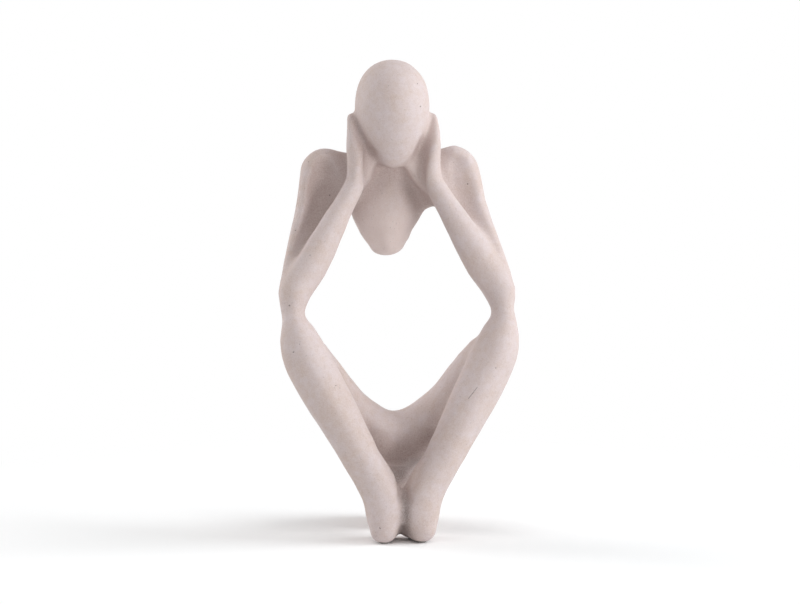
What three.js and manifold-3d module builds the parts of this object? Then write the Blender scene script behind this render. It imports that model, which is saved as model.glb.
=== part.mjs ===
// A seated abstract figure, about 260 mm tall, cast in filled resin with a fine sandstone look.
// It has no face, fingers or toes: its elbows rest on its knees and its hands hold its head.
// Seven castings are pinned and glued together, and the figure stands on three felt pads.
// Millimetres, +Z up. The figure faces -Y, its middle plane is X = 0 and the shelf is Z = 0.
import * as THREE from 'three';
import { mergeVertices } from 'three/addons/utils/BufferGeometryUtils.js';
import Module from 'manifold-3d';

const wasm = await Module();
wasm.setup();

// Joints and pads. A joint's place is its share of the way along the limb's curve, and the shoulder
// pins sit behind the middle of the arm, clear of the channel in its front.
const GLUE_GAP = 0.3;
const SHOULDER_JOINT = 0.4;
const HIP_JOINT = 0.34;
const PIN_RADIUS = 2;
const PIN_LENGTH = 24;
const SHOULDER_PIN_BACK = 3;
const PAD_THICKNESS = 1.2;
const PAD_PROUD = 0.4;
const FOOT_PAD = { across: 3.4, deep: 8.4 };
const SEAT_PAD = { across: 8.4, deep: 16.8 };

// Landmarks of the right side, which the left side mirrors in the middle plane.
// A landmark is the middle of a limb there, with its half sizes across and front to back.
const SHOULDER = { x: 36.4, y: 16, z: 197.3, across: 13, deep: 11 };
const ELBOW = { x: 56, y: -15, z: 134.9, across: 9.4, deep: 9.8 };
const PINCH = { x: 57.5, y: -19.5, z: 123.3, across: 6.1, deep: 6.8 };
const WRIST = { x: 21, y: -1, z: 192.9, across: 5.7, deep: 6.8 };
const FINGERTIPS = { x: 22, y: 8, z: 225.4, across: 2.2, deep: 6.6, turn: 18 };
const KNEE = { x: 53.6, y: -26, z: 105.9, across: 11.8, deep: 11.6 };
const ANKLE = { x: 11.2, y: -35, z: 26.9, across: 11.5, deep: 10 };
const INSTEP = { x: 9.9, y: -35, z: 12.9, across: 9.9, deep: 9 };
const HEEL = { x: 7.4, y: -23, z: 9.4, across: 9.2, deep: 10.4 };
const TOE = { x: 10.6, y: -37.5, z: 7.9, across: 7.8, deep: 8.4 };
const HIP = { x: 22, y: -7, z: 64.5, across: 12.9, deep: 13 };

// Landmarks in the middle plane
const HEAD = { y: 5.5, z: 232.9, halfWidth: 20.4, halfDepth: 23, up: 25.8, down: 34.5, lean: 9 };
const NECK = { y: 15.5, z: 205.9, across: 12.6, deep: 9 };
const YOKE = { y: 21, z: 190.4, across: 14.5, deep: 8.6 };
const CHEST_TIP = { x: -0.7, y: 21.5, z: 155.7, across: 9.7, deep: 6.2 };
const SADDLE = { y: -5.5, z: 52.6, across: 15, deep: 13.5 };

// Rings given outright: the fold of muscle from the neck down to the front of the armpit, the
// channel pressed into the front of the shoulder and upper arm, whose rings lie mostly before the
// surface, and the rump from the saddle back and down to the shelf.
const FOLD = [
  { x: 9.5, y: 10.5, z: 202.4, across: 4.6, deep: 5 },
  { x: 16, y: 9.5, z: 196.4, across: 6, deep: 6 },
  { x: 23, y: 9.5, z: 188.9, across: 7.5, deep: 7 },
  { x: 30, y: 11, z: 185.9, across: 8.5, deep: 7 },
];
const CHANNEL = [
  { x: 36.5, y: 1, z: 207.5, across: 6, deep: 7 },
  { x: 38, y: 2.8, z: 200, across: 7.6, deep: 8.4 },
  { x: 39.8, y: 1.6, z: 190, across: 7.8, deep: 8.6 },
  { x: 43, y: -2.6, z: 178, across: 7, deep: 8 },
  { x: 48.5, y: -7.8, z: 167, across: 5.6, deep: 6.4 },
  { x: 55, y: -14.2, z: 156, across: 4, deep: 4.7 },
];
const RUMP = [
  { y: -3, z: 53.4, across: 17, deep: 13 },
  { y: 9, z: 46.9, across: 23, deep: 15.5 },
  { y: 20, z: 34.9, across: 21.5, deep: 19.5 },
  { y: 25.2, z: 20.9, across: 16.5, deep: 21.5 },
  { y: 22, z: 6.9, across: 11.9, deep: 20 },
  { y: 19.5, z: -9.1, across: 8.8, deep: 18 },
];

// Stations between two landmarks: the share of the way, how far the limb bows off the
// straight line there in X, Y and Z, its half sizes, and its turn in degrees.
const UPPER_ARM = [
  { share: 0.13, bow: [0.3, 0.5, 0], across: 11.8, deep: 10.4 },
  { share: 0.3, bow: [0.4, 3, 0], across: 9.9, deep: 9.6 },
  { share: 0.5, bow: [0.7, 3, 0], across: 9, deep: 9 },
  { share: 0.76, bow: [0.5, 1.5, 0], across: 9, deep: 8.8 },
  { share: 1, bow: [0, 0, 0], across: 8.8, deep: 8.8 },
];
const FOREARM = [
  { share: 0.2, bow: [-1, 0, 0], across: 9.5, deep: 9.2 },
  { share: 0.36, bow: [-0.7, -0.6, 0], across: 9.1, deep: 8.6 },
  { share: 0.52, bow: [-0.7, -0.8, 0], across: 8, deep: 7.8 },
  { share: 0.7, bow: [-0.3, -0.8, 0], across: 6.8, deep: 7 },
  { share: 0.86, bow: [-0.2, -0.4, 0], across: 6, deep: 6.6 },
];
const HAND = [
  { share: 0.3, bow: [-2, -1.5, 0], across: 6.4, deep: 8, turn: 18 },
  { share: 0.62, bow: [-1.2, -0.5, 0], across: 4.5, deep: 9.4, turn: 22 },
];
const THIGH = [
  { share: 0.13, bow: [0.2, 6.5, 0], across: 10.2, deep: 9.6 },
  { share: 0.24, bow: [0.4, 6.9, -0.7], across: 11.4, deep: 11 },
  { share: 0.47, bow: [0.4, 6, -1], across: 12.3, deep: 12 },
  { share: 0.73, bow: [1.4, 0.8, -0.7], across: 12.8, deep: 12.8 },
];
const GROIN = [{ share: 0.6, bow: [0.2, 0, -2.3], across: 14, deep: 13.4 }];
const KNEE_TOP = [
  { share: 0.28, bow: [1, -0.5, 0], across: 7.1, deep: 8 },
  { share: 0.56, bow: [0.6, -0.5, 0], across: 9.7, deep: 10 },
];
const SHIN = [
  { share: 0.12, bow: [1, -1, 0], across: 12.7, deep: 11.8 },
  { share: 0.27, bow: [1.1, -2, 0], across: 12.7, deep: 11.6 },
  { share: 0.5, bow: [0.8, -3, 0], across: 11.6, deep: 11.2 },
  { share: 0.76, bow: [0.8, -2.5, 0], across: 10.4, deep: 10.4 },
];
const CHEST = [
  { share: 0.1, bow: [-0.5, 0.3, 0], across: 12.9, deep: 7.2 },
  { share: 0.2, bow: [-1.1, 0.5, 0], across: 15.5, deep: 7.8 },
  { share: 0.3, bow: [-1.2, 0.5, 0], across: 18.7, deep: 8 },
  { share: 0.4, bow: [-1, -0.8, 0], across: 20.5, deep: 8.2 },
  { share: 0.56, bow: [-0.5, -0.6, 0], across: 20, deep: 8.4 },
  { share: 0.8, bow: [0, 0, 0], across: 15, deep: 8.6 },
];
const THROAT = [
  { share: 0.4, bow: [0, 0, 0], across: 9.6, deep: 8.8 },
  { share: 0.8, bow: [0, 0, 0], across: 9, deep: 8.4 },
];
const COLLAR = [{ share: 0.4, bow: [0, 1, -2], across: 14.6, deep: 9 }];

// How far the rounded end of each limb reaches past its last ring
const ROUND = { elbow: 8.8, fingertips: 4.5, chestTip: 5, foldTop: 3, foldFoot: 4 };
const LEG_ROUND = { knee: 5, instep: 9, heel: 6, toe: 6.5 };

// Soft ridges along the front of the chest and the shins, and how narrow they are
const CHEST_CREST = 1.5;
const SHIN_CREST = 1.2;
const CREST_POWER = 6;

// How far the elbow and the knee are drawn into each other before the pinch parts them,
// as a share of the way from the pinch to the elbow or the knee
const PAST_PINCH = -0.3;

// How finely the limbs are drawn
const LIMB_SIDES = 20;
const TRUNK_SIDES = 28;
const PIN_SIDES = 12;
const RING_STEP = 6.5;
const DOME_RINGS = 4;
const PAD_SEGMENTS = 16;

const resin = new THREE.MeshStandardMaterial({ color: 0xcdbfba, roughness: 0.85, metalness: 0 });
const steel = new THREE.MeshStandardMaterial({ color: 0x9a9ca0, roughness: 0.4, metalness: 1 });
const felt = new THREE.MeshStandardMaterial({ color: 0xb9aca4, roughness: 1, metalness: 0 });

const toBack = new THREE.Vector3(0, 1, 0);
const upright = new THREE.Vector3(0, 0, 1);

// A point a share of the way from one landmark to the next, bowed off that line.
function between(a, b, share, bow = [0, 0, 0]) {
  const start = new THREE.Vector3(a.x ?? 0, a.y, a.z);
  const end = new THREE.Vector3(b.x ?? 0, b.y, b.z);
  return start.lerp(end, share).add(new THREE.Vector3(...bow));
}

// A ring of a limb: its centre, its half sizes, and its turn about the limb in degrees.
function ring(at, { across, deep, turn = 0 } = at) {
  return { centre: new THREE.Vector3(at.x ?? 0, at.y, at.z), across, deep, turn };
}

function stations(a, b, list) {
  return list.map((s) => ring(between(a, b, s.share, s.bow), s));
}

function mirrored(rings) {
  return rings.map((r) => ({ ...r, centre: r.centre.clone().setX(-r.centre.x), turn: -r.turn }));
}

function onSide(rings, side) {
  return side > 0 ? rings : mirrored(rings);
}

// The curve through the rings' centres, and one that carries their half sizes and turn.
function curves(rings) {
  const line = new THREE.CatmullRomCurve3(rings.map((r) => r.centre));
  const girth = new THREE.CatmullRomCurve3(rings.map((r) => new THREE.Vector3(r.across, r.deep, r.turn)));
  return { line, girth };
}

// A closed skin of oval rings strung on the curve through the given rings.
// from and to pick a stretch of the curve. A dome rounds an end off, and a crest is a
// soft ridge along the front. All of it can grow, to cut its own room in a neighbour.
function limb(rings, options = {}) {
  const { from = 0, to = 1, startDome = 0, endDome = 0, crest = 0, grow = 0 } = options;
  const { sides = LIMB_SIDES, deepWay = toBack } = options;
  const { line, girth } = curves(rings);
  const loops = [];
  const addLoop = (t, shift, scale) => {
    const way = line.getTangent(t);
    const half = girth.getPoint(t);
    const deepAxis = deepWay.clone().addScaledVector(way, -deepWay.dot(way)).normalize();
    deepAxis.applyAxisAngle(way, THREE.MathUtils.degToRad(half.z));
    const acrossAxis = deepAxis.clone().cross(way);
    const centre = line.getPoint(t).addScaledVector(way, shift);
    const loop = [];
    for (let k = 0; k < sides; k++) {
      const angle = (k / sides) * 2 * Math.PI;
      const ridge = crest * Math.sin(Math.PI * t) * Math.max(0, -Math.sin(angle)) ** CREST_POWER;
      const acrossReach = (half.x + grow) * scale * Math.cos(angle);
      const deepReach = (half.y + grow) * scale * Math.sin(angle) - ridge * scale;
      const point = centre.clone().addScaledVector(acrossAxis, acrossReach);
      loop.push(point.addScaledVector(deepAxis, deepReach));
    }
    loops.push(loop);
  };
  const addDome = (t, reach) => {
    const order = [...Array(DOME_RINGS - 1).keys()].map((k) => ((k + 1) / DOME_RINGS) * (Math.PI / 2));
    if (reach < 0) order.reverse();
    for (const angle of order) addLoop(t, reach * Math.sin(angle), Math.cos(angle));
  };
  const steps = Math.max(2, Math.round((line.getLength() * (to - from)) / RING_STEP));
  if (startDome) addDome(from, -startDome - grow);
  for (let i = 0; i <= steps; i++) {
    const endShift = (i === 0 && !startDome ? -grow : 0) + (i === steps && !endDome ? grow : 0);
    addLoop(from + ((to - from) * i) / steps, endShift, 1);
  }
  if (endDome) addDome(to, endDome + grow);
  const points = loops.flat();
  const addPole = (t, reach) => points.push(line.getPoint(t).addScaledVector(line.getTangent(t), reach)) - 1;
  const startPole = addPole(from, -startDome - grow);
  const endPole = addPole(to, endDome + grow);
  const faces = [];
  const at = (i, k) => i * sides + (k % sides);
  for (let k = 0; k < sides; k++) {
    faces.push(startPole, at(0, k + 1), at(0, k));
    faces.push(endPole, at(loops.length - 1, k), at(loops.length - 1, k + 1));
    for (let i = 0; i + 1 < loops.length; i++) {
      faces.push(at(i, k), at(i, k + 1), at(i + 1, k + 1));
      faces.push(at(i, k), at(i + 1, k + 1), at(i + 1, k));
    }
  }
  return solid(new THREE.BufferGeometry().setFromPoints(points).setIndex(faces));
}

// A three.js geometry as a solid that can be joined and cut.
function solid(geometry) {
  const bare = geometry.clone();
  bare.deleteAttribute('normal');
  bare.deleteAttribute('uv');
  const merged = mergeVertices(bare, 1e-4);
  const vertProperties = new Float32Array(merged.attributes.position.array);
  const triVerts = new Uint32Array(merged.index.array);
  return new wasm.Manifold(new wasm.Mesh({ numProp: 3, vertProperties, triVerts }));
}

// A solid as a named mesh of the figure.
function piece(name, made, material) {
  const mesh = made.getMesh();
  const positions = new Float32Array(mesh.numVert * 3);
  for (let i = 0; i < mesh.numVert; i++) {
    for (let k = 0; k < 3; k++) positions[3 * i + k] = mesh.vertProperties[i * mesh.numProp + k];
  }
  const geometry = new THREE.BufferGeometry();
  geometry.setAttribute('position', new THREE.BufferAttribute(positions, 3));
  geometry.setIndex(new THREE.BufferAttribute(new Uint32Array(mesh.triVerts), 1));
  geometry.computeVertexNormals();
  const shown = new THREE.Mesh(geometry, material);
  shown.name = name;
  return shown;
}

function cut(made, tools) {
  return tools.reduce((rest, tool) => rest.subtract(tool), made);
}

// A round bar with its middle at a point and its length along a direction.
function bar(centre, way, radius, length) {
  const geometry = new THREE.CylinderGeometry(radius, radius, length, PIN_SIDES);
  geometry.applyQuaternion(new THREE.Quaternion().setFromUnitVectors(toBack, way.clone().normalize()));
  return solid(geometry.translate(centre.x, centre.y, centre.z));
}

// A block larger than the figure, standing on or hanging under the given plane.
const BLOCK = 600;
function beyond(normal, distance) {
  const block = new THREE.BoxGeometry(BLOCK, BLOCK, BLOCK);
  const shift = normal.clone().multiplyScalar(distance + BLOCK / 2);
  return solid(block.translate(shift.x, shift.y, shift.z));
}
const below = (height) => beyond(upright.clone().negate(), -height);
const above = (height) => beyond(upright, height);

// The head: a sphere drawn out into an egg, full at the crown and narrow at the chin.
const CROWN_POWER = 2.2;
const CHIN_POWER = 1.65;
const CHIN_ROUND = 0.58;
function head(grow = 0) {
  const egg = new THREE.SphereGeometry(1, 32, 24).rotateX(Math.PI / 2);
  const place = egg.attributes.position;
  const point = new THREE.Vector3();
  for (let i = 0; i < place.count; i++) {
    point.fromBufferAttribute(place, i);
    const height = THREE.MathUtils.clamp(point.z, -1, 1);
    const girth = Math.sqrt(Math.max(1e-12, 1 - height * height));
    const full = height > 0
      ? Math.max(0, 1 - height ** CROWN_POWER) ** (1 / CROWN_POWER)
      : Math.max(0, 1 - (-height) ** CHIN_POWER) ** CHIN_ROUND;
    point.x *= ((HEAD.halfWidth + grow) * full) / girth;
    point.y *= ((HEAD.halfDepth + grow) * full) / girth;
    point.z = height * ((height > 0 ? HEAD.up : HEAD.down) + grow);
    place.setXYZ(i, point.x, point.y, point.z);
  }
  egg.rotateX(THREE.MathUtils.degToRad(-HEAD.lean));
  return solid(egg.translate(0, HEAD.y, HEAD.z));
}

const upperArm = [ring(SHOULDER), ...stations(SHOULDER, ELBOW, UPPER_ARM)];

// The forearm's rings start under the pinch and go over the elbow up to the fingertips.
const forearm = [
  ring(between(PINCH, ELBOW, PAST_PINCH), PINCH),
  ring(PINCH),
  ring(ELBOW),
  ...stations(ELBOW, WRIST, FOREARM),
  ring(WRIST),
  ...stations(WRIST, FINGERTIPS, HAND),
  ring(FINGERTIPS),
];

// The upper arm's root is cast with the torso.
function armRoot(side, grow = 0) {
  return limb(onSide(upperArm, side), { to: SHOULDER_JOINT, startDome: SHOULDER.deep, grow });
}

function foreArm(side, grow = 0) {
  return limb(onSide(forearm, side), { endDome: ROUND.fingertips, grow });
}

// The channel is open at the front, so it is a cut, and the forearm isn't cut by it.
function channel(side) {
  return limb(onSide(CHANNEL.map((at) => ring(at)), side));
}

function arm(side, cuts) {
  const upper = limb(onSide(upperArm, side), { from: SHOULDER_JOINT, endDome: ROUND.elbow });
  const elbowFoot = below(PINCH.z + GLUE_GAP / 2);
  const whole = upper.subtract(channel(side)).add(foreArm(side));
  return cut(whole, [armRoot(side, GLUE_GAP), elbowFoot, ...cuts]);
}

// The chest and neck: a shield that comes to a round tip and narrows upward into the neck.
function chest() {
  const rings = [
    ring(CHEST_TIP),
    ...stations(CHEST_TIP, NECK, CHEST),
    ring(NECK),
    ...stations(NECK, HEAD, THROAT),
  ];
  return limb(rings, { startDome: ROUND.chestTip, crest: CHEST_CREST, sides: TRUNK_SIDES });
}

// The yoke: the bar of the shoulders and upper back, from one shoulder to the other.
function yoke() {
  const half = [...stations(SHOULDER, YOKE, COLLAR), ring(SHOULDER)];
  const rings = [...mirrored(half).reverse(), ring(YOKE), ...half];
  return limb(rings, { startDome: SHOULDER.across, endDome: SHOULDER.across, sides: TRUNK_SIDES });
}

function torso(cuts) {
  const fold = FOLD.map((at) => ring(at));
  const ends = { startDome: ROUND.foldTop, endDome: ROUND.foldFoot };
  let whole = yoke().add(chest());
  for (const side of [-1, 1]) whole = whole.add(armRoot(side)).add(limb(onSide(fold, side), ends));
  const taken = [channel(-1), channel(1), foreArm(-1, GLUE_GAP), foreArm(1, GLUE_GAP)];
  return cut(whole, [...taken, ...cuts]);
}

// The thighs and the saddle between them are one loop of rings, from the left knee to the right.
const thigh = [...stations(KNEE, HIP, THIGH), ring(HIP), ...stations(HIP, SADDLE, GROIN)];
const thighLoop = [...mirrored(thigh), ring(SADDLE), ...[...thigh].reverse()];

// The shin's rings start over the pinch and go down over the knee to the sole.
const shin = [
  ring(between(PINCH, KNEE, PAST_PINCH), PINCH),
  ring(PINCH),
  ...stations(PINCH, KNEE, KNEE_TOP),
  ring(KNEE),
  ...stations(KNEE, ANKLE, SHIN),
  ring(ANKLE),
  ring(INSTEP),
];
const foot = [ring(HEEL), ring(TOE)];

function leg(side, grow = 0) {
  const rings = onSide([...thighLoop].reverse(), side);
  const upper = limb(rings, { to: HIP_JOINT, startDome: LEG_ROUND.knee, grow });
  const lower = limb(onSide(shin, side), { endDome: LEG_ROUND.instep, crest: SHIN_CREST, grow });
  const soleEnds = { startDome: LEG_ROUND.heel, endDome: LEG_ROUND.toe, deepWay: upright };
  const sole = limb(onSide(foot, side), { ...soleEnds, grow });
  const middle = beyond(new THREE.Vector3(-side, 0, 0), grow - GLUE_GAP / 2);
  const kneeTop = above(PINCH.z - GLUE_GAP / 2);
  return cut(upper.add(lower).add(sole), [below(PAD_PROUD - grow), middle, kneeTop]);
}

// The pelvis: the saddle, and the rump that the figure sits on.
function pelvis(cuts) {
  const saddle = limb(thighLoop, { from: HIP_JOINT, to: 1 - HIP_JOINT, sides: TRUNK_SIDES });
  const rump = limb(RUMP.map((at) => ring(at)), { sides: TRUNK_SIDES });
  const rooms = [leg(-1, GLUE_GAP), leg(1, GLUE_GAP)];
  return cut(saddle.add(rump), [...rooms, below(PAD_PROUD), ...cuts]);
}

// Steel pins across the glued joints, each in a blind socket in both castings.
const sockets = [];
const pins = [];
function pin(name, centre, way) {
  pins.push(piece(name, bar(centre, way, PIN_RADIUS, PIN_LENGTH), steel));
  sockets.push(bar(centre, way, PIN_RADIUS + GLUE_GAP, PIN_LENGTH + 2 * GLUE_GAP));
}
function pinOn(name, rings, share, back = 0) {
  const { line } = curves(rings);
  pin(name, line.getPoint(share).addScaledVector(toBack, back), line.getTangent(share));
}

const sides = [['left', -1], ['right', 1]];
for (const [word, side] of sides) {
  pinOn('shoulder_pin_' + word, onSide(upperArm, side), SHOULDER_JOINT, SHOULDER_PIN_BACK);
  pinOn('hip_pin_' + word, onSide([...thighLoop].reverse(), side), HIP_JOINT);
  const shank = onSide([ring(KNEE), ring(PINCH), ring(ELBOW)], side);
  pin('elbow_pin_' + word, shank[1].centre, shank[2].centre.clone().sub(shank[0].centre));
}
const throat = stations(NECK, HEAD, THROAT);
pin('neck_pin', throat[0].centre, throat[1].centre.clone().sub(throat[0].centre));

// An oval disc on the shelf. It makes a pad or, grown and deeper, the recess that holds it.
function oval({ across, deep }, middle, turn, grow = 0) {
  const outline = new THREE.Shape();
  outline.absellipse(middle.x, middle.y, across + grow, deep + grow, 0, 2 * Math.PI, false, turn);
  const settings = { depth: PAD_THICKNESS + grow, bevelEnabled: false, curveSegments: PAD_SEGMENTS };
  return solid(new THREE.ExtrudeGeometry(outline, settings));
}

// A casting with a felt pad glued into a shallow recess under it, a little proud of it.
function addPadded(name, casting, padName, size, middle, turn) {
  figure.add(piece(name, casting.subtract(oval(size, middle, turn, GLUE_GAP)), resin));
  figure.add(piece(padName, oval(size, middle, turn), felt));
}

const figure = new THREE.Group();
const headRoom = head(GLUE_GAP);
figure.add(piece('head', cut(head(), sockets), resin));
figure.add(piece('torso', torso([headRoom, ...sockets]), resin));
for (const [word, side] of sides) {
  figure.add(piece('arm_' + word, arm(side, [headRoom, ...sockets]), resin));
  const [heel, toe] = onSide(foot, side).map((r) => r.centre);
  const turn = Math.atan2(toe.x - heel.x, heel.y - toe.y);
  const middle = heel.clone().lerp(toe, 0.5);
  addPadded('leg_' + word, cut(leg(side), sockets), 'foot_pad_' + word, FOOT_PAD, middle, turn);
}
const [lowest, next] = [RUMP.at(-1), RUMP.at(-2)];
const seat = between(lowest, next, (PAD_PROUD - lowest.z) / (next.z - lowest.z));
addPadded('pelvis', pelvis(sockets), 'seat_pad', SEAT_PAD, seat, 0);
figure.add(...pins);

export default figure;
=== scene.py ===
import math

import bpy
import numpy as np
import openvdb
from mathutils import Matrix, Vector


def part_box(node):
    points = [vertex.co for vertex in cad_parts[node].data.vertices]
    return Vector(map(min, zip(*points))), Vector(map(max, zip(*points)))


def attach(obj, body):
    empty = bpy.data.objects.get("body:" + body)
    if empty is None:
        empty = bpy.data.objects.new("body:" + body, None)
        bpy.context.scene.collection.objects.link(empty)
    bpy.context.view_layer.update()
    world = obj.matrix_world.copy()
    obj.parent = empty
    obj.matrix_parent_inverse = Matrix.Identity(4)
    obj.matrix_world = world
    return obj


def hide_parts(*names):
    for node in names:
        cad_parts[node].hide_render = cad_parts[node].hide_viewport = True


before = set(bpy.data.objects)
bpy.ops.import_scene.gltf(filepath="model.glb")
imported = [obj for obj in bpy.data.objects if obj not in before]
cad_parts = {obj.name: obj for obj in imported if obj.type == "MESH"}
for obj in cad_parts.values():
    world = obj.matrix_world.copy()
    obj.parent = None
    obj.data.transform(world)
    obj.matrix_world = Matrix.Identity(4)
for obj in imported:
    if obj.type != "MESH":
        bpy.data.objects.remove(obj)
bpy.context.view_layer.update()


# Camera: a little to the figure's right and above it, far enough away that the limbs hardly taper.
# The photo's frame is 800 x 604, and one pixel is 0.547 mm at the figure.
AIM = Vector((0.0035, 0.0, 0.1266))
AZIMUTH = -8
ELEVATION = 6
DISTANCE = 1.6
SENSOR_WIDTH = 36
LENS = 131.6


def direction(azimuth, elevation):
    azimuth = math.radians(azimuth)
    elevation = math.radians(elevation)
    return Vector((
        math.sin(azimuth) * math.cos(elevation),
        -math.cos(azimuth) * math.cos(elevation),
        math.sin(elevation),
    ))


towards_camera = direction(AZIMUTH, ELEVATION)
camera = bpy.data.objects.new("camera", bpy.data.cameras.new("camera"))
camera.data.sensor_width = SENSOR_WIDTH
camera.data.lens = LENS
camera.location = AIM + towards_camera * DISTANCE
camera.rotation_euler = towards_camera.to_track_quat("Z", "Y").to_euler()
bpy.context.scene.collection.objects.link(camera)
bpy.context.scene.camera = camera
bpy.context.scene.view_settings.view_transform = "Standard"


# Resin: polyester filled with stone powder, rubbed matt after casting. The powder shows as fine
# pinkish grey grains, with tan clouds where the mix settled and a tan wash left in the hollows, where
# painted shade darkens it further. Painted shade also darkens the gap between the shins and the feet,
# and painted light brightens the chest, two folds of the neck and one palm. Air bubbles in the mix
# have left pinholes, and handling a hairline scratch on one shin.
RESIN_GREY = (0.552, 0.456, 0.456, 1)
RESIN_TAN = (0.498, 0.374, 0.328, 1)
# Tan wash with painted shade, for the hollows.
RESIN_WASH_AND_SHADE = (0.362, 0.252, 0.226, 1)
# Painted shade, for the gap between the shins and the feet.
RESIN_PAINTED_SHADE = (0.165, 0.114, 0.102, 1)
# Painted light, for the chest, two folds of the neck and one palm.
RESIN_PAINTED_LIGHT = (0.685, 0.552, 0.512, 1)
GRAIN_LIGHT = (0.720, 0.670, 0.655, 1)
GRAIN_DARK = (0.260, 0.215, 0.200, 1)
PINHOLE_SHADE = (0.110, 0.090, 0.082, 1)
CLOUDS = {"Scale": 45, "Low": 0.42, "High": 0.68}
MOTTLES = {"Scale": 240, "Low": 0.34, "High": 0.68}
POWDER = {"Scale": 1500, "Low": 0.30, "High": 0.70}
FINE_POWDER = {"Scale": 4200, "Low": 0.30, "High": 0.70}
DARK_GRAINS = {"Scale": 950, "Low": 0.64, "High": 0.72}
CLOUD_SHARE = 0.6
MOTTLE_SHARE = 0.7
POWDER_SHARE = 0.36
FINE_POWDER_SHARE = 0.2
DARK_GRAIN_SHARE = 0.45
BUBBLE_SCALE = 71.0
BUBBLE_SIZE = 0.034
BUBBLE_CORE = 0.6
HOLE_SHARE = 0.7
RESIN_ROUGHNESS = 0.8
ROUGHNESS_BETWEEN_GRAINS = 0.86
ROUGHNESS_ON_GRAINS = 0.72
POWDER_RELIEF = 0.5
FINE_POWDER_RELIEF = 0.3
HOLE_RELIEF = 4.0
RELIEF_STRENGTH = 0.5
RELIEF_HEIGHT = 0.00008


def new_group(name, inputs, outputs):
    group = bpy.data.node_groups.new(name, "ShaderNodeTree")
    for label, kind, value in inputs:
        socket = group.interface.new_socket(label, in_out="INPUT", socket_type="NodeSocket" + kind)
        socket.default_value = value
    for label, kind in outputs:
        group.interface.new_socket(label, in_out="OUTPUT", socket_type="NodeSocket" + kind)
    return group, group.nodes.new("NodeGroupInput").outputs, group.nodes.new("NodeGroupOutput").inputs


def add_node(tree, kind, links=None, values=None, **settings):
    node = tree.nodes.new("ShaderNode" + kind)
    for name, value in settings.items():
        setattr(node, name, value)
    for socket, value in (values or {}).items():
        node.inputs[socket].default_value = value
    for socket, source in (links or {}).items():
        tree.links.new(source, node.inputs[socket])
    return node.outputs


def mix_colour(tree, share, a, b):
    links = {"Factor": share}
    values = {"B": b}
    if isinstance(a, tuple):
        values["A"] = a
    else:
        links["A"] = a
    return add_node(tree, "Mix", links, values, data_type="RGBA")["Result"]


def times(tree, value, factor):
    return add_node(tree, "Math", {0: value}, {1: factor}, operation="MULTIPLY")["Value"]


def new_material(name, colour, roughness):
    material = bpy.data.materials.new(name)
    material.use_nodes = True
    material.diffuse_color = colour
    shader = material.node_tree.nodes["Principled BSDF"]
    shader.inputs["Base Color"].default_value = colour
    shader.inputs["Roughness"].default_value = roughness
    return material, material.node_tree, shader


# Grain is one noise, stretched along the fibre if there is one, and cut to the part that shows.
GRAIN_DETAIL = 3
GRAIN_ROUGHNESS = 0.6

grain, grain_in, grain_out = new_group(
    "grain",
    (
        ("Scale", "Float", 100.0),
        ("Stretch", "Vector", (1.0, 1.0, 1.0)),
        ("Low", "Float", 0.3),
        ("High", "Float", 0.7),
    ),
    (("Grain", "Float"),),
)
grain_place = add_node(grain, "TexCoord")["Object"]
grain_place = add_node(
    grain, "VectorMath", {0: grain_place, 1: grain_in["Stretch"]}, operation="MULTIPLY"
)["Vector"]
grain_noise = add_node(
    grain, "TexNoise",
    {"Vector": grain_place, "Scale": grain_in["Scale"]},
    {"Detail": GRAIN_DETAIL, "Roughness": GRAIN_ROUGHNESS},
)["Fac"]
grain_cut = add_node(
    grain, "MapRange", {"Value": grain_noise, "From Min": grain_in["Low"], "From Max": grain_in["High"]}
)["Result"]
grain.links.new(grain_cut, grain_out["Grain"])


def add_grain(tree, values):
    return add_node(tree, "Group", None, values, node_tree=grain)["Grain"]


# A nick is a round hole, or a groove where its end lies apart from its start. It is measured
# mostly across the front, so that it stays open on a surface a little in front or behind.
NICK_WEIGHTS = (1.0, 0.3, 1.0)
NICK_CORE = 0.45

nick, nick_in, nick_out = new_group(
    "nick",
    (
        ("Start", "Vector", (0.0, 0.0, 0.0)),
        ("End", "Vector", (0.0, 0.0, 0.0)),
        ("Radius", "Float", 0.0004),
    ),
    (("Depth", "Float"),),
)


def nick_vector(operation, links, values=None, output="Vector"):
    return add_node(nick, "VectorMath", links, values, operation=operation)[output]


def nick_math(operation, links, values=None):
    return add_node(nick, "Math", links, values, operation=operation)["Value"]


nick_place = add_node(nick, "TexCoord")["Object"]
nick_from = nick_vector("SUBTRACT", {0: nick_place, 1: nick_in["Start"]})
nick_run = nick_vector("SUBTRACT", {0: nick_in["End"], 1: nick_in["Start"]})
nick_way = nick_vector("NORMALIZE", {0: nick_run})
nick_length = nick_vector("LENGTH", {0: nick_run}, output="Value")
nick_along = nick_vector("DOT_PRODUCT", {0: nick_from, 1: nick_way}, output="Value")
nick_along = nick_math("MAXIMUM", {0: nick_along}, {1: 0.0})
nick_along = nick_math("MINIMUM", {0: nick_along, 1: nick_length})
nick_nearest = nick_vector("SCALE", {0: nick_way, "Scale": nick_along})
nick_off = nick_vector("SUBTRACT", {0: nick_from, 1: nick_nearest})
nick_off = nick_vector("MULTIPLY", {0: nick_off}, {1: NICK_WEIGHTS})
nick_off = nick_vector("LENGTH", {0: nick_off}, output="Value")
nick_share = nick_math("DIVIDE", {0: nick_off, 1: nick_in["Radius"]})
nick_depth = add_node(
    nick, "MapRange",
    {"Value": nick_share}, {"From Min": NICK_CORE, "From Max": 1.0, "To Min": 1.0, "To Max": 0.0},
    interpolation_type="SMOOTHSTEP",
)["Result"]
nick.links.new(nick_depth, nick_out["Depth"])

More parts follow.
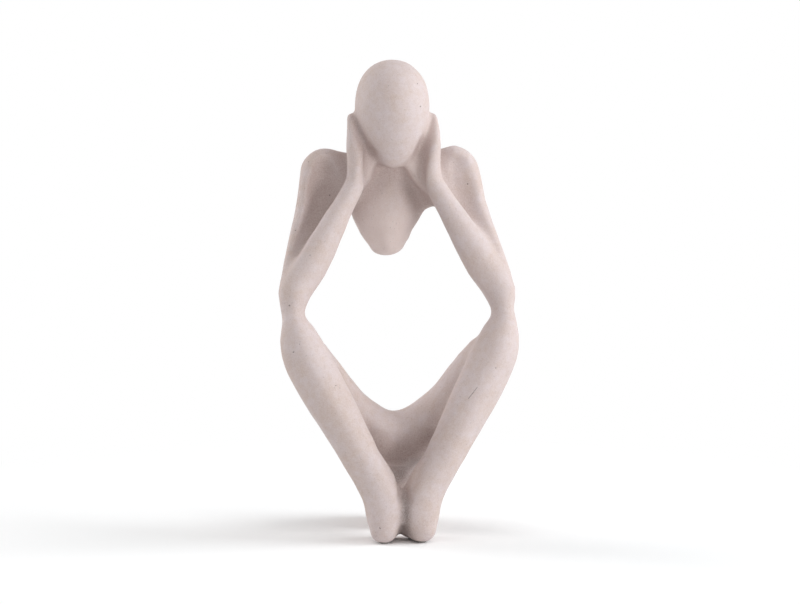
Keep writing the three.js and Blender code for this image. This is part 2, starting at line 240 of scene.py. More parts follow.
# Pinholes and the scratch, each a start, an end and a radius in millimetres.
MM_PER_M = 1000
NICKS = (
    ((13.0, -11.8, 233.8), (13.0, -11.8, 233.8), 0.55),
    ((11.7, -9.5, 246.0), (11.7, -9.5, 246.0), 0.45),
    ((-59.8, -24.7, 128.2), (-59.8, -24.7, 128.2), 0.6),
    ((-34.2, 7.6, 185.0), (-34.2, 7.6, 185.0), 0.6),
    ((-48.0, -18.9, 154.6), (-48.0, -18.9, 154.6), 0.4),
    ((-54.0, -2.2, 166.6), (-54.0, -2.2, 166.6), 0.4),
    ((-13.6, -43.2, 9.6), (-13.3, -43.3, 9.2), 0.4),
    ((-59.0, -36.6, 104.5), (-59.0, -36.6, 104.5), 0.5),
    ((-55.8, -37.4, 108.8), (-55.8, -37.4, 108.8), 0.35),
    ((-36.8, -40.7, 86.6), (-36.8, -40.7, 86.6), 0.45),
    ((-34.6, -39.6, 85.2), (-34.6, -39.6, 85.2), 0.4),
    ((49.6, -41.0, 94.6), (49.6, -41.0, 94.6), 0.45),
    ((41.5, 4.3, 190.6), (41.5, 4.3, 190.6), 0.55),
    ((39.4, -42.4, 84.6), (34.5, -43.0, 78.6), 0.2),
)

resin, resin_tree, resin_shader = new_material("stone_resin", RESIN_GREY, RESIN_ROUGHNESS)
powder = add_grain(resin_tree, POWDER)
fine_powder = add_grain(resin_tree, FINE_POWDER)
clouds = times(resin_tree, add_grain(resin_tree, CLOUDS), CLOUD_SHARE)
mottles = times(resin_tree, add_grain(resin_tree, MOTTLES), MOTTLE_SHARE)
tan_share = add_node(
    resin_tree, "Math", {0: clouds, 1: mottles}, operation="ADD", use_clamp=True
)["Value"]

# Stray air bubbles: cells of random size, of which only the middle is open. The nicks lie on top.
resin_place = add_node(resin_tree, "TexCoord")["Object"]
bubbles = add_node(resin_tree, "TexVoronoi", {"Vector": resin_place}, {"Scale": BUBBLE_SCALE})
bubble_size = add_node(resin_tree, "SeparateColor", {"Color": bubbles["Color"]})["Red"]
bubble_size = times(resin_tree, bubble_size, BUBBLE_SIZE)
bubble_edge = add_node(
    resin_tree, "Math", {0: bubbles["Distance"], 1: bubble_size}, operation="DIVIDE"
)["Value"]
holes = add_node(
    resin_tree, "MapRange",
    {"Value": bubble_edge}, {"From Min": BUBBLE_CORE, "From Max": 1.0, "To Min": 1.0, "To Max": 0.0},
)["Result"]
for start, end, radius in NICKS:
    this_nick = add_node(resin_tree, "Group", None, {
        "Start": [v / MM_PER_M for v in start],
        "End": [v / MM_PER_M for v in end],
        "Radius": radius / MM_PER_M,
    }, node_tree=nick)["Depth"]
    holes = add_node(resin_tree, "Math", {0: holes, 1: this_nick}, operation="MAXIMUM")["Value"]

# The colour, from the ground upwards. The castings bring three attributes: the tan wash with
# painted shade in the hollows, a deeper painted shade, and painted light.
resin_colour = RESIN_GREY
for share, colour in (
    (tan_share, RESIN_TAN),
    # The tan wash in the hollows, with painted shade.
    (add_node(resin_tree, "Attribute", attribute_name="hollow")["Fac"], RESIN_WASH_AND_SHADE),
    # Painted shade between the shins and the feet.
    (add_node(resin_tree, "Attribute", attribute_name="painted_shade")["Fac"], RESIN_PAINTED_SHADE),
    # Painted light on the chest, two folds of the neck and one palm.
    (add_node(resin_tree, "Attribute", attribute_name="painted_light")["Fac"], RESIN_PAINTED_LIGHT),
    (times(resin_tree, powder, POWDER_SHARE), GRAIN_LIGHT),
    (times(resin_tree, fine_powder, FINE_POWDER_SHARE), GRAIN_LIGHT),
    (times(resin_tree, add_grain(resin_tree, DARK_GRAINS), DARK_GRAIN_SHARE), GRAIN_DARK),
    (times(resin_tree, holes, HOLE_SHARE), PINHOLE_SHADE),
):
    resin_colour = mix_colour(resin_tree, share, resin_colour, colour)
resin_tree.links.new(resin_colour, resin_shader.inputs["Base Color"])

resin_roughness = add_node(
    resin_tree, "MapRange",
    {"Value": powder}, {"To Min": ROUGHNESS_BETWEEN_GRAINS, "To Max": ROUGHNESS_ON_GRAINS},
)["Result"]
resin_tree.links.new(resin_roughness, resin_shader.inputs["Roughness"])
powder_relief = times(resin_tree, powder, POWDER_RELIEF)
fine_powder_relief = times(resin_tree, fine_powder, FINE_POWDER_RELIEF)
hole_relief = times(resin_tree, holes, HOLE_RELIEF)
relief = add_node(
    resin_tree, "Math", {0: powder_relief, 1: fine_powder_relief}, operation="ADD"
)["Value"]
relief = add_node(resin_tree, "Math", {0: relief, 1: hole_relief}, operation="SUBTRACT")["Value"]
resin_bump = add_node(
    resin_tree, "Bump", {"Height": relief}, {"Strength": RELIEF_STRENGTH, "Distance": RELIEF_HEIGHT}
)["Normal"]
resin_tree.links.new(resin_bump, resin_shader.inputs["Normal"])


# Castings: the figure is cast in seven pieces, which are pinned, glued, filled at the joints and
# rubbed down as one, so the joints don't show and every hollow has the radius of a rubbing stick.
# All seven are put on one distance grid, closed and smoothed there, and cut apart again.
CASTINGS = ("head", "torso", "arm_left", "arm_right", "leg_left", "leg_right", "pelvis")
GRID = 0.0006
COARSE = 2
COARSEST = 4
REACH = 0.0064
MARGIN = 0.006
FINE_FILLET = 0.0009
WIDE_FILLET = 0.0045
WIDEST_FILLET = 0.009
SOFTEN = 0.0012
BELL_REACH = 2.6
OVERLAP = 0.0001

# Where the wider rubbing sticks went, on both sides alike: a place and its reach in metres.
WIDE_PLACES = (
    ((0.040, 0.022, 0.190), (0.020, 0.020, 0.026)),
    ((0.022, -0.004, 0.062), (0.016, 0.020, 0.020)),
    ((0.057, -0.019, 0.123), (0.012, 0.014, 0.010)),
)
WIDEST_PLACES = (
    ((0.048, -0.012, 0.104), (0.013, 0.013, 0.015)),
    ((0.014, 0.010, 0.058), (0.018, 0.012, 0.018)),
)
PLACE_GAIN = 2

# Waves on the rubbed surface: their height, and the run along x, y and z in metres with a phase.
WAVE_HEIGHT = 0.00009
WAVES = (
    (0.0031, 0.0042, 0.0046, 0.4),
    (0.0052, 0.0037, 0.0029, 1.9),
    (0.0023, 0.0026, 0.0034, 3.1),
)

# The tan wash lies in the hollows and on the toes, and in the hollows painted shade darkens it, the
# deeper the darker. Painted shade darkens the gap between the shins and the feet further, and painted
# light brightens the chest, two folds of the neck and one palm. A place, its reach in metres, its
# strength.
WASH_AND_SHADE_REACH = 0.016
WASH_AND_SHADE_DEPTH = 0.0065
TOES = (
    ((-0.013, -0.044, 0.008), 0.006, 0.3),
    ((0.012, -0.045, 0.008), 0.006, 0.3),
)
# Painted shade between the shins and the feet.
PAINTED_SHADE_PLACES = (
    ((0.009, -0.009, 0.038), (0.009, 0.011, 0.007), 0.75),
    ((0.004, 0.002, 0.030), (0.007, 0.010, 0.006), 0.75),
    ((0.0010, -0.039, 0.017), (0.0028, 0.008, 0.013), 1.0),
    ((0.0010, -0.040, 0.005), (0.0040, 0.008, 0.004), 0.60),
)
# Painted light on the chest, two folds of the neck and one palm.
PAINTED_LIGHT_PLACES = (
    ((-0.001, 0.010, 0.163), (0.018, 0.020, 0.018), 0.95),
    ((0.010, 0.002, 0.200), (0.005, 0.008, 0.008), 0.6),
    ((-0.013, 0.002, 0.201), (0.003, 0.008, 0.006), 0.5),
    ((0.018, 0.001, 0.222), (0.005, 0.006, 0.010), 0.5),
)

# Vertices that lie less than SNAP cells from skin and cut alike are moved onto the edge where the two
# cross, if they cross at more than a flat angle. A slope is measured over SLOPE_STEP cells each way,
# and the last three keep a place inside the grid and a division away from nought.
SNAP = 0.6
SNAP_PASSES = 3
FLAT_ANGLE = 0.2
SLOPE_STEP = 0.75
LAST_CELL = 1.001
NO_SLOPE = 1e-6
NO_LENGTH = 1e-9

corners = np.array([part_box(name) for name in CASTINGS])
grid_low = np.floor((corners[:, 0].min(axis=0) - MARGIN) / GRID).astype(int)
grid_high = np.ceil((corners[:, 1].max(axis=0) + MARGIN) / GRID).astype(int)
grid_low -= grid_low % COARSEST
grid_size = tuple(int(n + -n % COARSEST) for n in grid_high - grid_low)
grid_corner = tuple(int(n) for n in grid_low)


def corner_at(coarse):
    return tuple(n // coarse for n in grid_corner)


def distances(points, triangles=None, quads=None, coarse=1):
    place = openvdb.createLinearTransform(GRID * coarse)
    volume = openvdb.FloatGrid.createLevelSetFromPolygons(points, triangles, quads, place, REACH / GRID)
    field = np.empty([n // coarse for n in grid_size], np.float32)
    volume.copyToArray(field, corner_at(coarse))
    return field


def surface(field, level=0.0, coarse=1):
    reach = REACH * coarse
    volume = openvdb.FloatGrid(reach)
    volume.copyFromArray(np.clip(field, -reach, reach), corner_at(coarse))
    volume.transform = openvdb.createLinearTransform(GRID * coarse)
    return volume.convertToQuads(level)


def closed(field, radius, coarse=1):
    points, quads = surface(field, radius, coarse)
    return distances(points, None, quads, coarse) + np.float32(radius)


def finer(field):
    for axis in range(3):
        field = np.moveaxis(field, axis, 0)
        following = np.concatenate([field[1:], field[-1:]])
        field = np.stack([field, (field + following) * 0.5], axis=1).reshape(-1, *field.shape[1:])
        field = np.moveaxis(field, 0, axis)
    return field


def softened(field, spread):
    half = int(math.ceil(BELL_REACH * spread / GRID))
    weights = np.exp(-0.5 * (np.arange(-half, half + 1) * GRID / spread) ** 2)
    weights = (weights / weights.sum()).astype(np.float32)
    for axis in range(3):
        length = field.shape[axis]
        padded = np.pad(field, [(half, half) if a == axis else (0, 0) for a in range(3)], mode="edge")
        total = np.zeros_like(field)
        for k, weight in enumerate(weights):
            part = [slice(None)] * 3
            part[axis] = slice(k, k + length)
            total += weight * padded[tuple(part)]
        field = total
    return field


def cad_distances(coarse=1):
    fields = {}
    for name in CASTINGS:
        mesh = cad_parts[name].data
        mesh.calc_loop_triangles()
        points = np.empty(len(mesh.vertices) * 3, np.float32)
        mesh.vertices.foreach_get("co", points)
        triangles = np.empty(len(mesh.loop_triangles) * 3, np.int32)
        mesh.loop_triangles.foreach_get("vertices", triangles)
        triangles = triangles.reshape(-1, 3).astype(np.uint32)
        fields[name] = distances(points.reshape(-1, 3), triangles, None, coarse)
    return fields


def union(fields):
    return np.minimum.reduce(list(fields.values()))


grid_x, grid_y, grid_z = (
    (np.arange(grid_size[a], dtype=np.float32) + grid_corner[a]) * np.float32(GRID) for a in range(3)
)
grid_x = grid_x[:, None, None]
grid_y = grid_y[None, :, None]
grid_z = grid_z[None, None, :]


def share_at(places):
    share = np.zeros(grid_size, np.float32)
    for (x, y, z), (across, deep, high) in places:
        for side in (-1, 1):
            away = ((grid_x - side * x) / across) ** 2
            away = away + ((grid_y - y) / deep) ** 2 + ((grid_z - z) / high) ** 2
            share = np.maximum(share, np.exp(-away))
    return np.clip(share * PLACE_GAIN, 0, 1)


casting_fields = cad_distances()
coarse_whole = union(cad_distances(COARSE))
wide = finer(closed(coarse_whole, WIDE_FILLET, COARSE))
widest = finer(closed(coarse_whole, WIDEST_FILLET, COARSE))
# The closing that finds the hollows for the tan wash and its painted shade.
wash_and_shade_field = closed(union(cad_distances(COARSEST)), WASH_AND_SHADE_REACH, COARSEST)
skin = closed(union(casting_fields), FINE_FILLET)
skin += (wide - skin) * share_at(WIDE_PLACES)
skin += (widest - skin) * share_at(WIDEST_PLACES)
skin = softened(skin, SOFTEN)

# No rubbed surface is quite even: a slow waviness of a tenth of a millimetre lies over all of it.
for run_x, run_y, run_z, phase in WAVES:
    wave = np.sin(grid_x / run_x + phase) * np.sin(grid_y / run_y + 2 * phase)
    wave = wave * np.sin(grid_z / run_z + phase)
    skin += np.float32(WAVE_HEIGHT) * wave.astype(np.float32)


# Hand work on the skin: each stroke is a run of (x, y, z, radius, height) in millimetres. A height
# above 0 adds a soft ridge along the run, and one below 0 presses a hollow.
def stroke(stations, strength=1.0, mirror=False):
    run = np.array(stations, np.float32) / np.float32(MM_PER_M)
    run[:, 4] *= strength
    if mirror:
        run[:, 0] *= -1
    spread = BELL_REACH * run[:, 3:4]
    first = np.floor((run[:, :3] - spread).min(axis=0) / GRID).astype(int) - grid_low
    last = np.ceil((run[:, :3] + spread).max(axis=0) / GRID).astype(int) - grid_low
    first = np.clip(first, 0, grid_size)
    last = np.clip(last, 0, grid_size)
    window = tuple(slice(a, b) for a, b in zip(first, last))
    x = grid_x[window[0]]
    y = grid_y[:, window[1]]
    z = grid_z[:, :, window[2]]
    best = np.zeros([b - a for a, b in zip(first, last)], np.float32)
    for start, end in zip(run[:-1], run[1:]):
        along = end[:3] - start[:3]
        share = (x - start[0]) * along[0] + (y - start[1]) * along[1] + (z - start[2]) * along[2]
        share = np.clip(share / (along @ along), 0, 1)
        away = (
            (x - start[0] - share * along[0]) ** 2
            + (y - start[1] - share * along[1]) ** 2
            + (z - start[2] - share * along[2]) ** 2
        )
        radius = start[3] + (end[3] - start[3]) * share
        raised = (start[4] + (end[4] - start[4]) * share) * np.exp(-away / radius ** 2)
        best = np.where(np.abs(raised) > np.abs(best), raised, best)
    skin[window] -= best


# The channel down the front of each shoulder. On the figure's right it is broad and deep. On its
# left it is almost filled, and the arm is round from the forearm outwards.
stroke(((-37, 4, 204, 5, 0), (-37, 5, 197, 6, -2), (-38, 3, 188, 6, -2.5), (-42, -0.5, 178, 6, -2),
        (-49, -6, 167, 5, -2), (-55, -11, 156, 4, -1), (-60, -14, 148, 4, 0)))
stroke(((-30, 4, 202, 5, -1), (-31, 3, 193, 5, -2), (-35, 0, 184, 5, -1.5)))
stroke(((39, 8, 204, 5, 2), (40, 8, 194, 6, 6), (42, 6, 184, 6, 4.7), (45, 2, 175, 5.5, 4),
        (48.5, -2, 167, 5, 3), (53, -7, 160, 4, 1.2)))
# On the figure's right the channel runs on as a shallow groove, nearly to the elbow.
stroke(((-52, -8, 163, 3.5, -0.5), (-56, -11, 155, 3.5, -1.6), (-59, -13, 147, 3.5, -1.2),
        (-61.5, -15, 140, 3.5, -0.4)))
# On its left the crease between forearm and upper arm is shallow.
stroke(((47.5, -1, 168, 3, 0.4), (50.5, -4, 163, 3, 1.2), (54, -8, 156, 3, 0.8)))

# The left shoulder is held a little higher than the right one.
stroke(((19, 10, 211, 4, 0), (27, 10, 211.5, 5, 2.6), (34, 10, 211, 5, 2.6), (41, 10, 207, 4, 0.6)))

# The chest comes forward towards its tip, and the root of the neck lies back under the chin.
stroke(((-1, 4, 178, 10, 0), (-1, 5, 170, 10, 2.5), (-1, 7, 161, 9, 5), (-1, 9, 157, 8, 5)))
stroke(((-2, 5, 203, 6, -1), (-1.5, 5, 195, 7, -3), (-1, 5, 188, 7, -1.5), (-1, 5, 182, 7, 0)))

# The folds that run from the neck to the armpits, and the valleys between them and the breastbone.
stroke(((9.5, 3, 207, 3.5, 2), (10.5, 3, 200, 4, 4), (14.5, 4, 193, 4, 3.5), (20, 4.5, 188, 4, 2)))
stroke(((4, 6, 196, 3, 0), (6.5, 6.5, 191, 4, -3), (11, 6.5, 186, 5, -3.5), (16, 7, 182, 5, -3),
        (21, 8, 179, 4, -1.5)))
stroke(((-10.5, 3, 208, 3, 1.5), (-12.5, 3, 202, 3.5, 3.5), (-14.5, 4, 195, 3.5, 3),
        (-20, 5, 188, 4, 0)))
stroke(((-5, 6, 197, 3, 0), (-7, 6.5, 192, 3.5, -2), (-11, 6.5, 187, 4, -1.5), (-15, 7, 183, 4, 0)))

# The wrists are slim, and a narrow gap parts each of them from the fold beside it.
stroke(((-12, -3, 209, 3, -1), (-14, -4, 204, 4, -2.5), (-15.5, -6, 197, 4, -2.5),
        (-17, -7, 190, 4, 0)))
stroke(((-14, -2, 210, 2.6, -2), (-14.5, -1.5, 204, 2.6, -3), (-15, -1, 198, 2.6, -3),
        (-16.5, 0, 191, 3, -1.5)))
stroke(((15.5, -3, 214, 3, -2), (14.8, -3, 207, 3.2, -5), (14.5, -2.5, 200, 3.2, -6),
        (15.5, -1, 194, 3, -5), (17.5, 1, 188, 3, -2)))

# The edge of the torso below the armpit is one smooth curve.
stroke(((27, 11, 181, 5, 1.2), (21, 13.5, 178.5, 4.5, 1.8), (16.5, 15.5, 173.5, 3, -0.2)))
stroke(((13, 18, 166, 3.5, 0.6), (10.5, 17.5, 161, 3.5, 0.8), (8, 16.5, 157, 3, 0.3)))
stroke(((25, 10, 181, 4, 1.2), (22, 12, 180, 4, 0.6)))
stroke(((-18, 14, 168, 4, 0), (-16, 15, 162, 4, -1.3), (-12, 16, 157, 4, -1), (-8, 16, 154, 3, 0)))

# The right ankle is slim. The inner edges of the shins part above the feet, and a slit runs down
# between the feet.
stroke(((-21, -38, 25, 4, -0.6), (-21, -38, 18, 4, -1.3), (-19, -38, 11, 4, -0.6)))
INNER_SHIN = ((1, -41, 24, 3.5, -1), (4, -40, 32, 4, -2), (9, -38, 42, 5, -1.5), (15, -36, 55, 5, 0))
stroke(INNER_SHIN)
stroke(INNER_SHIN, 0.6, mirror=True)
stroke(((0, -36, 33, 3, -6), (0, -37, 27, 2.6, -8), (0, -42, 25, 2.4, -6), (0.2, -46, 22, 2, -3)))
stroke(((0.2, -46, 22, 1.8, -1.5), (0.4, -47, 16, 2, -4), (0.8, -46, 6, 2.3, -5)))

# A crest runs down the front of each shin, with a flatter strip beside the right one.
stroke(((20, -41, 52, 2.5, 0), (27, -39.5, 66, 2.5, 0.8), (33, -38, 80, 2.5, 0.8),
        (38, -36, 90, 2.5, 0)))
stroke(((-36, -37, 88, 3, 0), (-30, -38, 77, 3, 0.7), (-23, -40, 62, 3, 0.8), (-17, -42, 46, 3, 0.6),
        (-10, -43, 34, 3, 0)))
stroke(((-32, -38, 62, 3.5, 0), (-28, -40, 52, 3.5, -0.8), (-24, -42, 40, 3.5, -1),
        (-20, -43, 29, 3.5, -0.5)))

# The saddle between the thighs: a swelling at the root of one thigh, a hollow under its front edge,
# and a slope that runs down without an edge to the block behind the shins.
stroke(((-17, -17, 66, 4.5, 0), (-11.5, -18.5, 62, 4.5, 2.6), (-7, -19, 60, 4, 0.5)))
stroke(((10, -19, 52, 6, -1), (1, -20, 48, 8, -3), (-8, -19, 52, 6, -1)))
stroke(((0, -9, 41, 7, 1.5), (0, -4, 35, 6, 1), (0, 1, 28, 6, -2.5), (0, 4, 22, 6, -2.5)))
stroke(((17, -9, 47, 6, 1.5), (13, -6, 41, 6, 3), (9, -2, 35, 5, 3.5), (6, 2, 29, 5, 1.5)))

# The thigh leaves the knee without a notch in its upper line.
KNEE_BRIDGE = ((37, -14, 98, 5, 0.5), (42, -17, 104, 5, 1.6), (47, -20, 110, 4, 0.6))
stroke(KNEE_BRIDGE)
stroke(KNEE_BRIDGE, mirror=True)

# The corner of each elbow is rubbed round.
ELBOW_CORNER = ((66, -16, 129, 3, -0.2), (66.5, -16, 134, 3.5, -1), (65, -15, 140, 3, -0.3))
stroke(ELBOW_CORNER)
stroke(ELBOW_CORNER, mirror=True)
stroke(((-65, -16, 131, 2, -0.1), (-65, -16, 133.5, 2, -0.5), (-65, -15.5, 136, 2, -0.1)))
stroke(((64.5, -15, 134.5, 2, -0.1), (64.5, -15, 137, 2, -0.5), (64.5, -14.5, 139.5, 2, -0.1)))

# Each elbow meets its knee in a waist, which is narrower on the figure's right.
stroke(((65, -20, 131, 3, -0.1), (65, -21, 126, 3, -0.7), (65, -22, 121, 3, -0.2)))
stroke(((-65, -22, 126, 3.5, -0.2), (-65, -22, 120, 3.5, -1.1), (-65, -24, 115, 3.5, -0.3)))


# Cutting apart: each casting is the part of the skin that is nearer to its own solid than to the
# others, and laps under its neighbours by OVERLAP, so that no light shows through a joint.
def sample(field, points, coarse=1):
    place = (points / GRID - grid_low) / coarse
    place = np.clip(place, 0, np.array(field.shape) - LAST_CELL)
    base = place.astype(int)
    part = (place - base).astype(np.float32)
    total = np.zeros(len(points), np.float32)
    for corner in range(8):
        shift = np.array([(corner >> 2) & 1, (corner >> 1) & 1, corner & 1])
        weight = np.prod(np.where(shift, part, 1 - part), axis=1)
        i, j, k = (base + shift).T
        total += weight * field[i, j, k]
    return total


def slopes(field, points):
    step = GRID * SLOPE_STEP
    sides = []
    for axis in range(3):
        move = np.zeros(3)
        move[axis] = step
        sides.append((sample(field, points + move) - sample(field, points - move)) / (2 * step))
    return np.stack(sides, axis=1)


def unit(vectors):
    return vectors / np.maximum(np.linalg.norm(vectors, axis=1, keepdims=True), NO_LENGTH)


def settled(points, cut):
    for _ in range(SNAP_PASSES):
        on_skin = sample(skin, points)
        on_cut = sample(cut, points)
        skin_slope = slopes(skin, points)
        cut_slope = slopes(cut, points)
        a = (skin_slope ** 2).sum(1) + NO_SLOPE
        b = (cut_slope ** 2).sum(1) + NO_SLOPE
        c = (skin_slope * cut_slope).sum(1)
        angle = a * b - c * c
        edge = (np.abs(on_skin) < SNAP * GRID) & (np.abs(on_cut) < SNAP * GRID)
        edge &= angle > FLAT_ANGLE * a * b
        angle = np.maximum(angle, NO_SLOPE)
        along_skin = -(b * on_skin - c * on_cut) / angle
        along_cut = -(a * on_cut - c * on_skin) / angle
        to_edge = along_skin[:, None] * skin_slope + along_cut[:, None] * cut_slope
        to_surface = np.where(
            (np.abs(on_skin) < np.abs(on_cut))[:, None],
            -(on_skin / a)[:, None] * skin_slope,
            -(on_cut / b)[:, None] * cut_slope,
        )
        move = np.where(edge[:, None], to_edge, to_surface)
        length = np.linalg.norm(move, axis=1, keepdims=True)
        points = points + move * np.minimum(1, SNAP * GRID / np.maximum(length, NO_LENGTH))
    return points


def quad_mesh(name, points, quads):
    mesh = bpy.data.meshes.new(name)
    mesh.vertices.add(len(points))
    mesh.vertices.foreach_set("co", points.astype(np.float32).ravel())
    mesh.loops.add(len(quads) * 4)
    mesh.loops.foreach_set("vertex_index", quads.astype(np.int32).ravel())
    mesh.polygons.add(len(quads))
    mesh.polygons.foreach_set("loop_start", np.arange(0, len(quads) * 4, 4, dtype=np.int32))
    mesh.polygons.foreach_set("use_smooth", np.ones(len(quads), bool))
    mesh.update(calc_edges=True)
    mesh.validate()
    return mesh


def strength_at(points, places):
    total = np.zeros(len(points))
    for centre, reach, strength in places:
        total += strength * np.exp(-(((points - centre) / reach) ** 2).sum(1))
    return total


def paint(mesh, name, values):
    attribute = mesh.attributes.new(name, "FLOAT", "POINT")
    attribute.data.foreach_set("value", values.astype(np.float32))


for name in CASTINGS:
    others = union({other: casting_fields[other] for other in CASTINGS if other != name})
    cut = (casting_fields[name] - others) * np.float32(0.5) - np.float32(OVERLAP)
    points, quads = surface(np.maximum(skin, cut))
    points = settled(points.astype(np.float64), cut)
    mesh = quad_mesh(name, points, quads)
    centres = points[quads].mean(axis=1)
    on_cut = np.abs(sample(cut, centres)) < np.abs(sample(skin, centres))
    normals = np.where(
        on_cut[:, None, None], unit(slopes(cut, points))[quads], unit(slopes(skin, points))[quads]
    )
    mesh.normals_split_custom_set(normals.reshape(-1, 3).tolist())
    # Tan wash with painted shade in the hollows, the deeper the darker, and tan on the toes.
    wash_and_shade_share = np.clip(-sample(wash_and_shade_field, points, COARSEST) / WASH_AND_SHADE_DEPTH, 0, 1)
    paint(mesh, "hollow", wash_and_shade_share + strength_at(points, TOES))
    # Painted shade between the shins and the feet.
    paint(mesh, "painted_shade", strength_at(points, PAINTED_SHADE_PLACES))
    # Painted light on the chest, two folds of the neck and one palm.
    paint(mesh, "painted_light", strength_at(points, PAINTED_LIGHT_PLACES))
    mesh.materials.append(resin)
    piece = bpy.data.objects.new("resin_" + name, mesh)
    bpy.context.scene.collection.objects.link(piece)
    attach(piece, "root")
    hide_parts(name)


# Dowel pins: drawn steel rod, cut to length and glued into the castings. The steel is bright with
# fine dull specks. All seven are hidden inside the joints.
PINS = (
    "neck_pin", "shoulder_pin_left", "shoulder_pin_right", "elbow_pin_left", "elbow_pin_right",
    "hip_pin_left", "hip_pin_right",
)
STEEL_BRIGHT = (0.560, 0.555, 0.545, 1)
STEEL_DULL = (0.400, 0.395, 0.385, 1)
STEEL_SPECKS = {"Scale": 2600, "Low": 0.35, "High": 0.65}
STEEL_ROUGHNESS = 0.35
ROUGHNESS_WHERE_BRIGHT = 0.30
ROUGHNESS_WHERE_DULL = 0.48


def dress(names, material):
    for name in names:
        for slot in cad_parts[name].material_slots:
            slot.material = material


steel, steel_tree, steel_shader = new_material("drawn_steel", STEEL_BRIGHT, STEEL_ROUGHNESS)
steel_shader.inputs["Metallic"].default_value = 1.0
steel_specks = add_grain(steel_tree, STEEL_SPECKS)
steel_colour = mix_colour(steel_tree, steel_specks, STEEL_BRIGHT, STEEL_DULL)
steel_tree.links.new(steel_colour, steel_shader.inputs["Base Color"])
steel_roughness = add_node(
    steel_tree, "MapRange",
    {"Value": steel_specks}, {"To Min": ROUGHNESS_WHERE_BRIGHT, "To Max": ROUGHNESS_WHERE_DULL},
)["Result"]
steel_tree.links.new(steel_roughness, steel_shader.inputs["Roughness"])
dress(PINS, steel)


# Felt pads: pressed grey wool felt, cut oval and glued into a shallow recess under each foot and
# under the seat. The fibres lie flat in the plane of the sheet.
PADS = ("foot_pad_left", "foot_pad_right", "seat_pad")
FELT_LIGHT = (0.330, 0.318, 0.300, 1)
FELT_DARK = (0.210, 0.200, 0.188, 1)
FIBRES_ACROSS = {"Scale": 900, "Stretch": (1.0, 5.0, 3.0), "Low": 0.35, "High": 0.65}
FIBRES_ALONG = {"Scale": 900, "Stretch": (5.0, 1.0, 3.0), "Low": 0.35, "High": 0.65}
FELT_ROUGHNESS = 0.95
FELT_SPECULAR = 0.2
FIBRE_STRENGTH = 0.6
FIBRE_HEIGHT = 0.00015

felt, felt_tree, felt_shader = new_material("wool_felt", FELT_LIGHT, FELT_ROUGHNESS)
felt_shader.inputs["Specular IOR Level"].default_value = FELT_SPECULAR
fibres_across = add_grain(felt_tree, FIBRES_ACROSS)
fibres_along = add_grain(felt_tree, FIBRES_ALONG)
fibres = add_node(felt_tree, "Math", {0: fibres_across, 1: fibres_along}, operation="MAXIMUM")["Value"]
felt_colour = mix_colour(felt_tree, fibres, FELT_DARK, FELT_LIGHT)
felt_tree.links.new(felt_colour, felt_shader.inputs["Base Color"])
felt_bump = add_node(
    felt_tree, "Bump", {"Height": fibres}, {"Strength": FIBRE_STRENGTH, "Distance": FIBRE_HEIGHT}
)["Normal"]
felt_tree.links.new(felt_bump, felt_shader.inputs["Normal"])
dress(PADS, felt)


# Floor and light: a white floor in a white tent, lit by a broad soft box from the right, a fill from
# behind on the left, a low one from the front and one overhead. None of them shows in the picture.
KEY = {"azimuth": 80, "height": 30, "size": 1.7, "power": 38, "tint": (0.965, 1.0, 1.02)}
BACK = {"azimuth": -120, "height": 25, "size": 1.5, "power": 27}
LOW = {"azimuth": 36, "height": -3, "size": 0.6, "power": 30}
TOP = {"azimuth": 0, "height": 70, "size": 1.5, "power": 11}
LAMP_DISTANCE = 2.4
TENT_STRENGTH = 0.42
WHITE = (1, 1, 1, 1)
FLOOR_WHITE = (0.9, 0.9, 0.9, 1)
FLOOR_ROUGHNESS = 0.9
FLOOR_HALF = 3.0
FLOOR_CLEAR = 0.16
FLOOR_FADE = 0.34


def soft_box(name, azimuth, height, size, power, tint=(1.0, 1.0, 1.0)):
    light = bpy.data.lights.new(name, "AREA")
    light.shape = "SQUARE"
    light.size = size
    light.energy = power
    light.color = tint
    away = direction(azimuth, height)
    lamp = bpy.data.objects.new(name, light)
    lamp.location = AIM + away * LAMP_DISTANCE
    lamp.rotation_euler = away.to_track_quat("Z", "Y").to_euler()
    lamp.visible_camera = False
    bpy.context.scene.collection.objects.link(lamp)


soft_box("key", **KEY)
soft_box("back", **BACK)
soft_box("low", **LOW)
soft_box("top", **TOP)


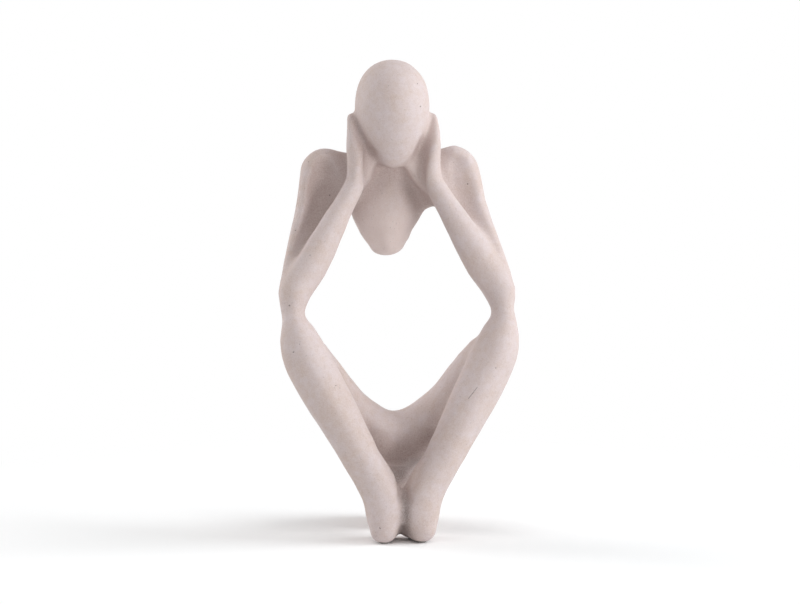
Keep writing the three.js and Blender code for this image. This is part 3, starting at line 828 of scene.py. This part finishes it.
# The tent and the far floor look plain white, whatever light the tent gives.
def seen_directly(tree):
    path = add_node(tree, "LightPath")
    camera_or_glossy = add_node(
        tree, "Math", {0: path["Is Camera Ray"], 1: path["Is Glossy Ray"]}, operation="MAXIMUM"
    )["Value"]
    return add_node(
        tree, "Math", {0: camera_or_glossy, 1: path["Is Transmission Ray"]}, operation="MAXIMUM"
    )["Value"]


tent = bpy.data.worlds.new("tent")
tent.use_nodes = True
bpy.context.scene.world = tent
tent_light = tent.node_tree.nodes["Background"]
tent_light.inputs["Color"].default_value = WHITE
tent_strength = add_node(
    tent.node_tree, "Mix", {"Factor": seen_directly(tent.node_tree)}, {"A": TENT_STRENGTH, "B": 1.0}
)["Result"]
tent.node_tree.links.new(tent_strength, tent_light.inputs["Strength"])

# Near the figure the floor shows the light and shade that fall on it. Further out it is plain white.
floor_material, floor_tree, floor_shader = new_material("floor_white", FLOOR_WHITE, FLOOR_ROUGHNESS)
floor_shader.inputs["Specular IOR Level"].default_value = 0.0
floor_seen = seen_directly(floor_tree)
floor_colour = mix_colour(floor_tree, floor_seen, FLOOR_WHITE, WHITE)
floor_tree.links.new(floor_colour, floor_shader.inputs["Base Color"])
floor_place = add_node(floor_tree, "TexCoord")["Object"]
floor_away = add_node(floor_tree, "VectorMath", {0: floor_place}, operation="LENGTH")["Value"]
floor_far = add_node(
    floor_tree, "MapRange", {"Value": floor_away}, {"From Min": FLOOR_CLEAR, "From Max": FLOOR_FADE},
    interpolation_type="SMOOTHSTEP",
)["Result"]
floor_share = add_node(floor_tree, "Math", {0: floor_far, 1: floor_seen}, operation="MULTIPLY")["Value"]
floor_glow = add_node(floor_tree, "Emission", None, {"Color": WHITE, "Strength": 1.0})["Emission"]
floor_mix = add_node(
    floor_tree, "MixShader", {0: floor_share, 1: floor_shader.outputs["BSDF"], 2: floor_glow}
)["Shader"]
floor_tree.links.new(floor_mix, floor_tree.nodes["Material Output"].inputs["Surface"])
floor_corners = [(x * FLOOR_HALF, y * FLOOR_HALF, 0) for x, y in ((-1, -1), (1, -1), (1, 1), (-1, 1))]
floor_mesh = bpy.data.meshes.new("floor")
floor_mesh.from_pydata(floor_corners, [], [(0, 1, 2, 3)])
floor_mesh.materials.append(floor_material)
floor = bpy.data.objects.new("floor", floor_mesh)
bpy.context.scene.collection.objects.link(floor)
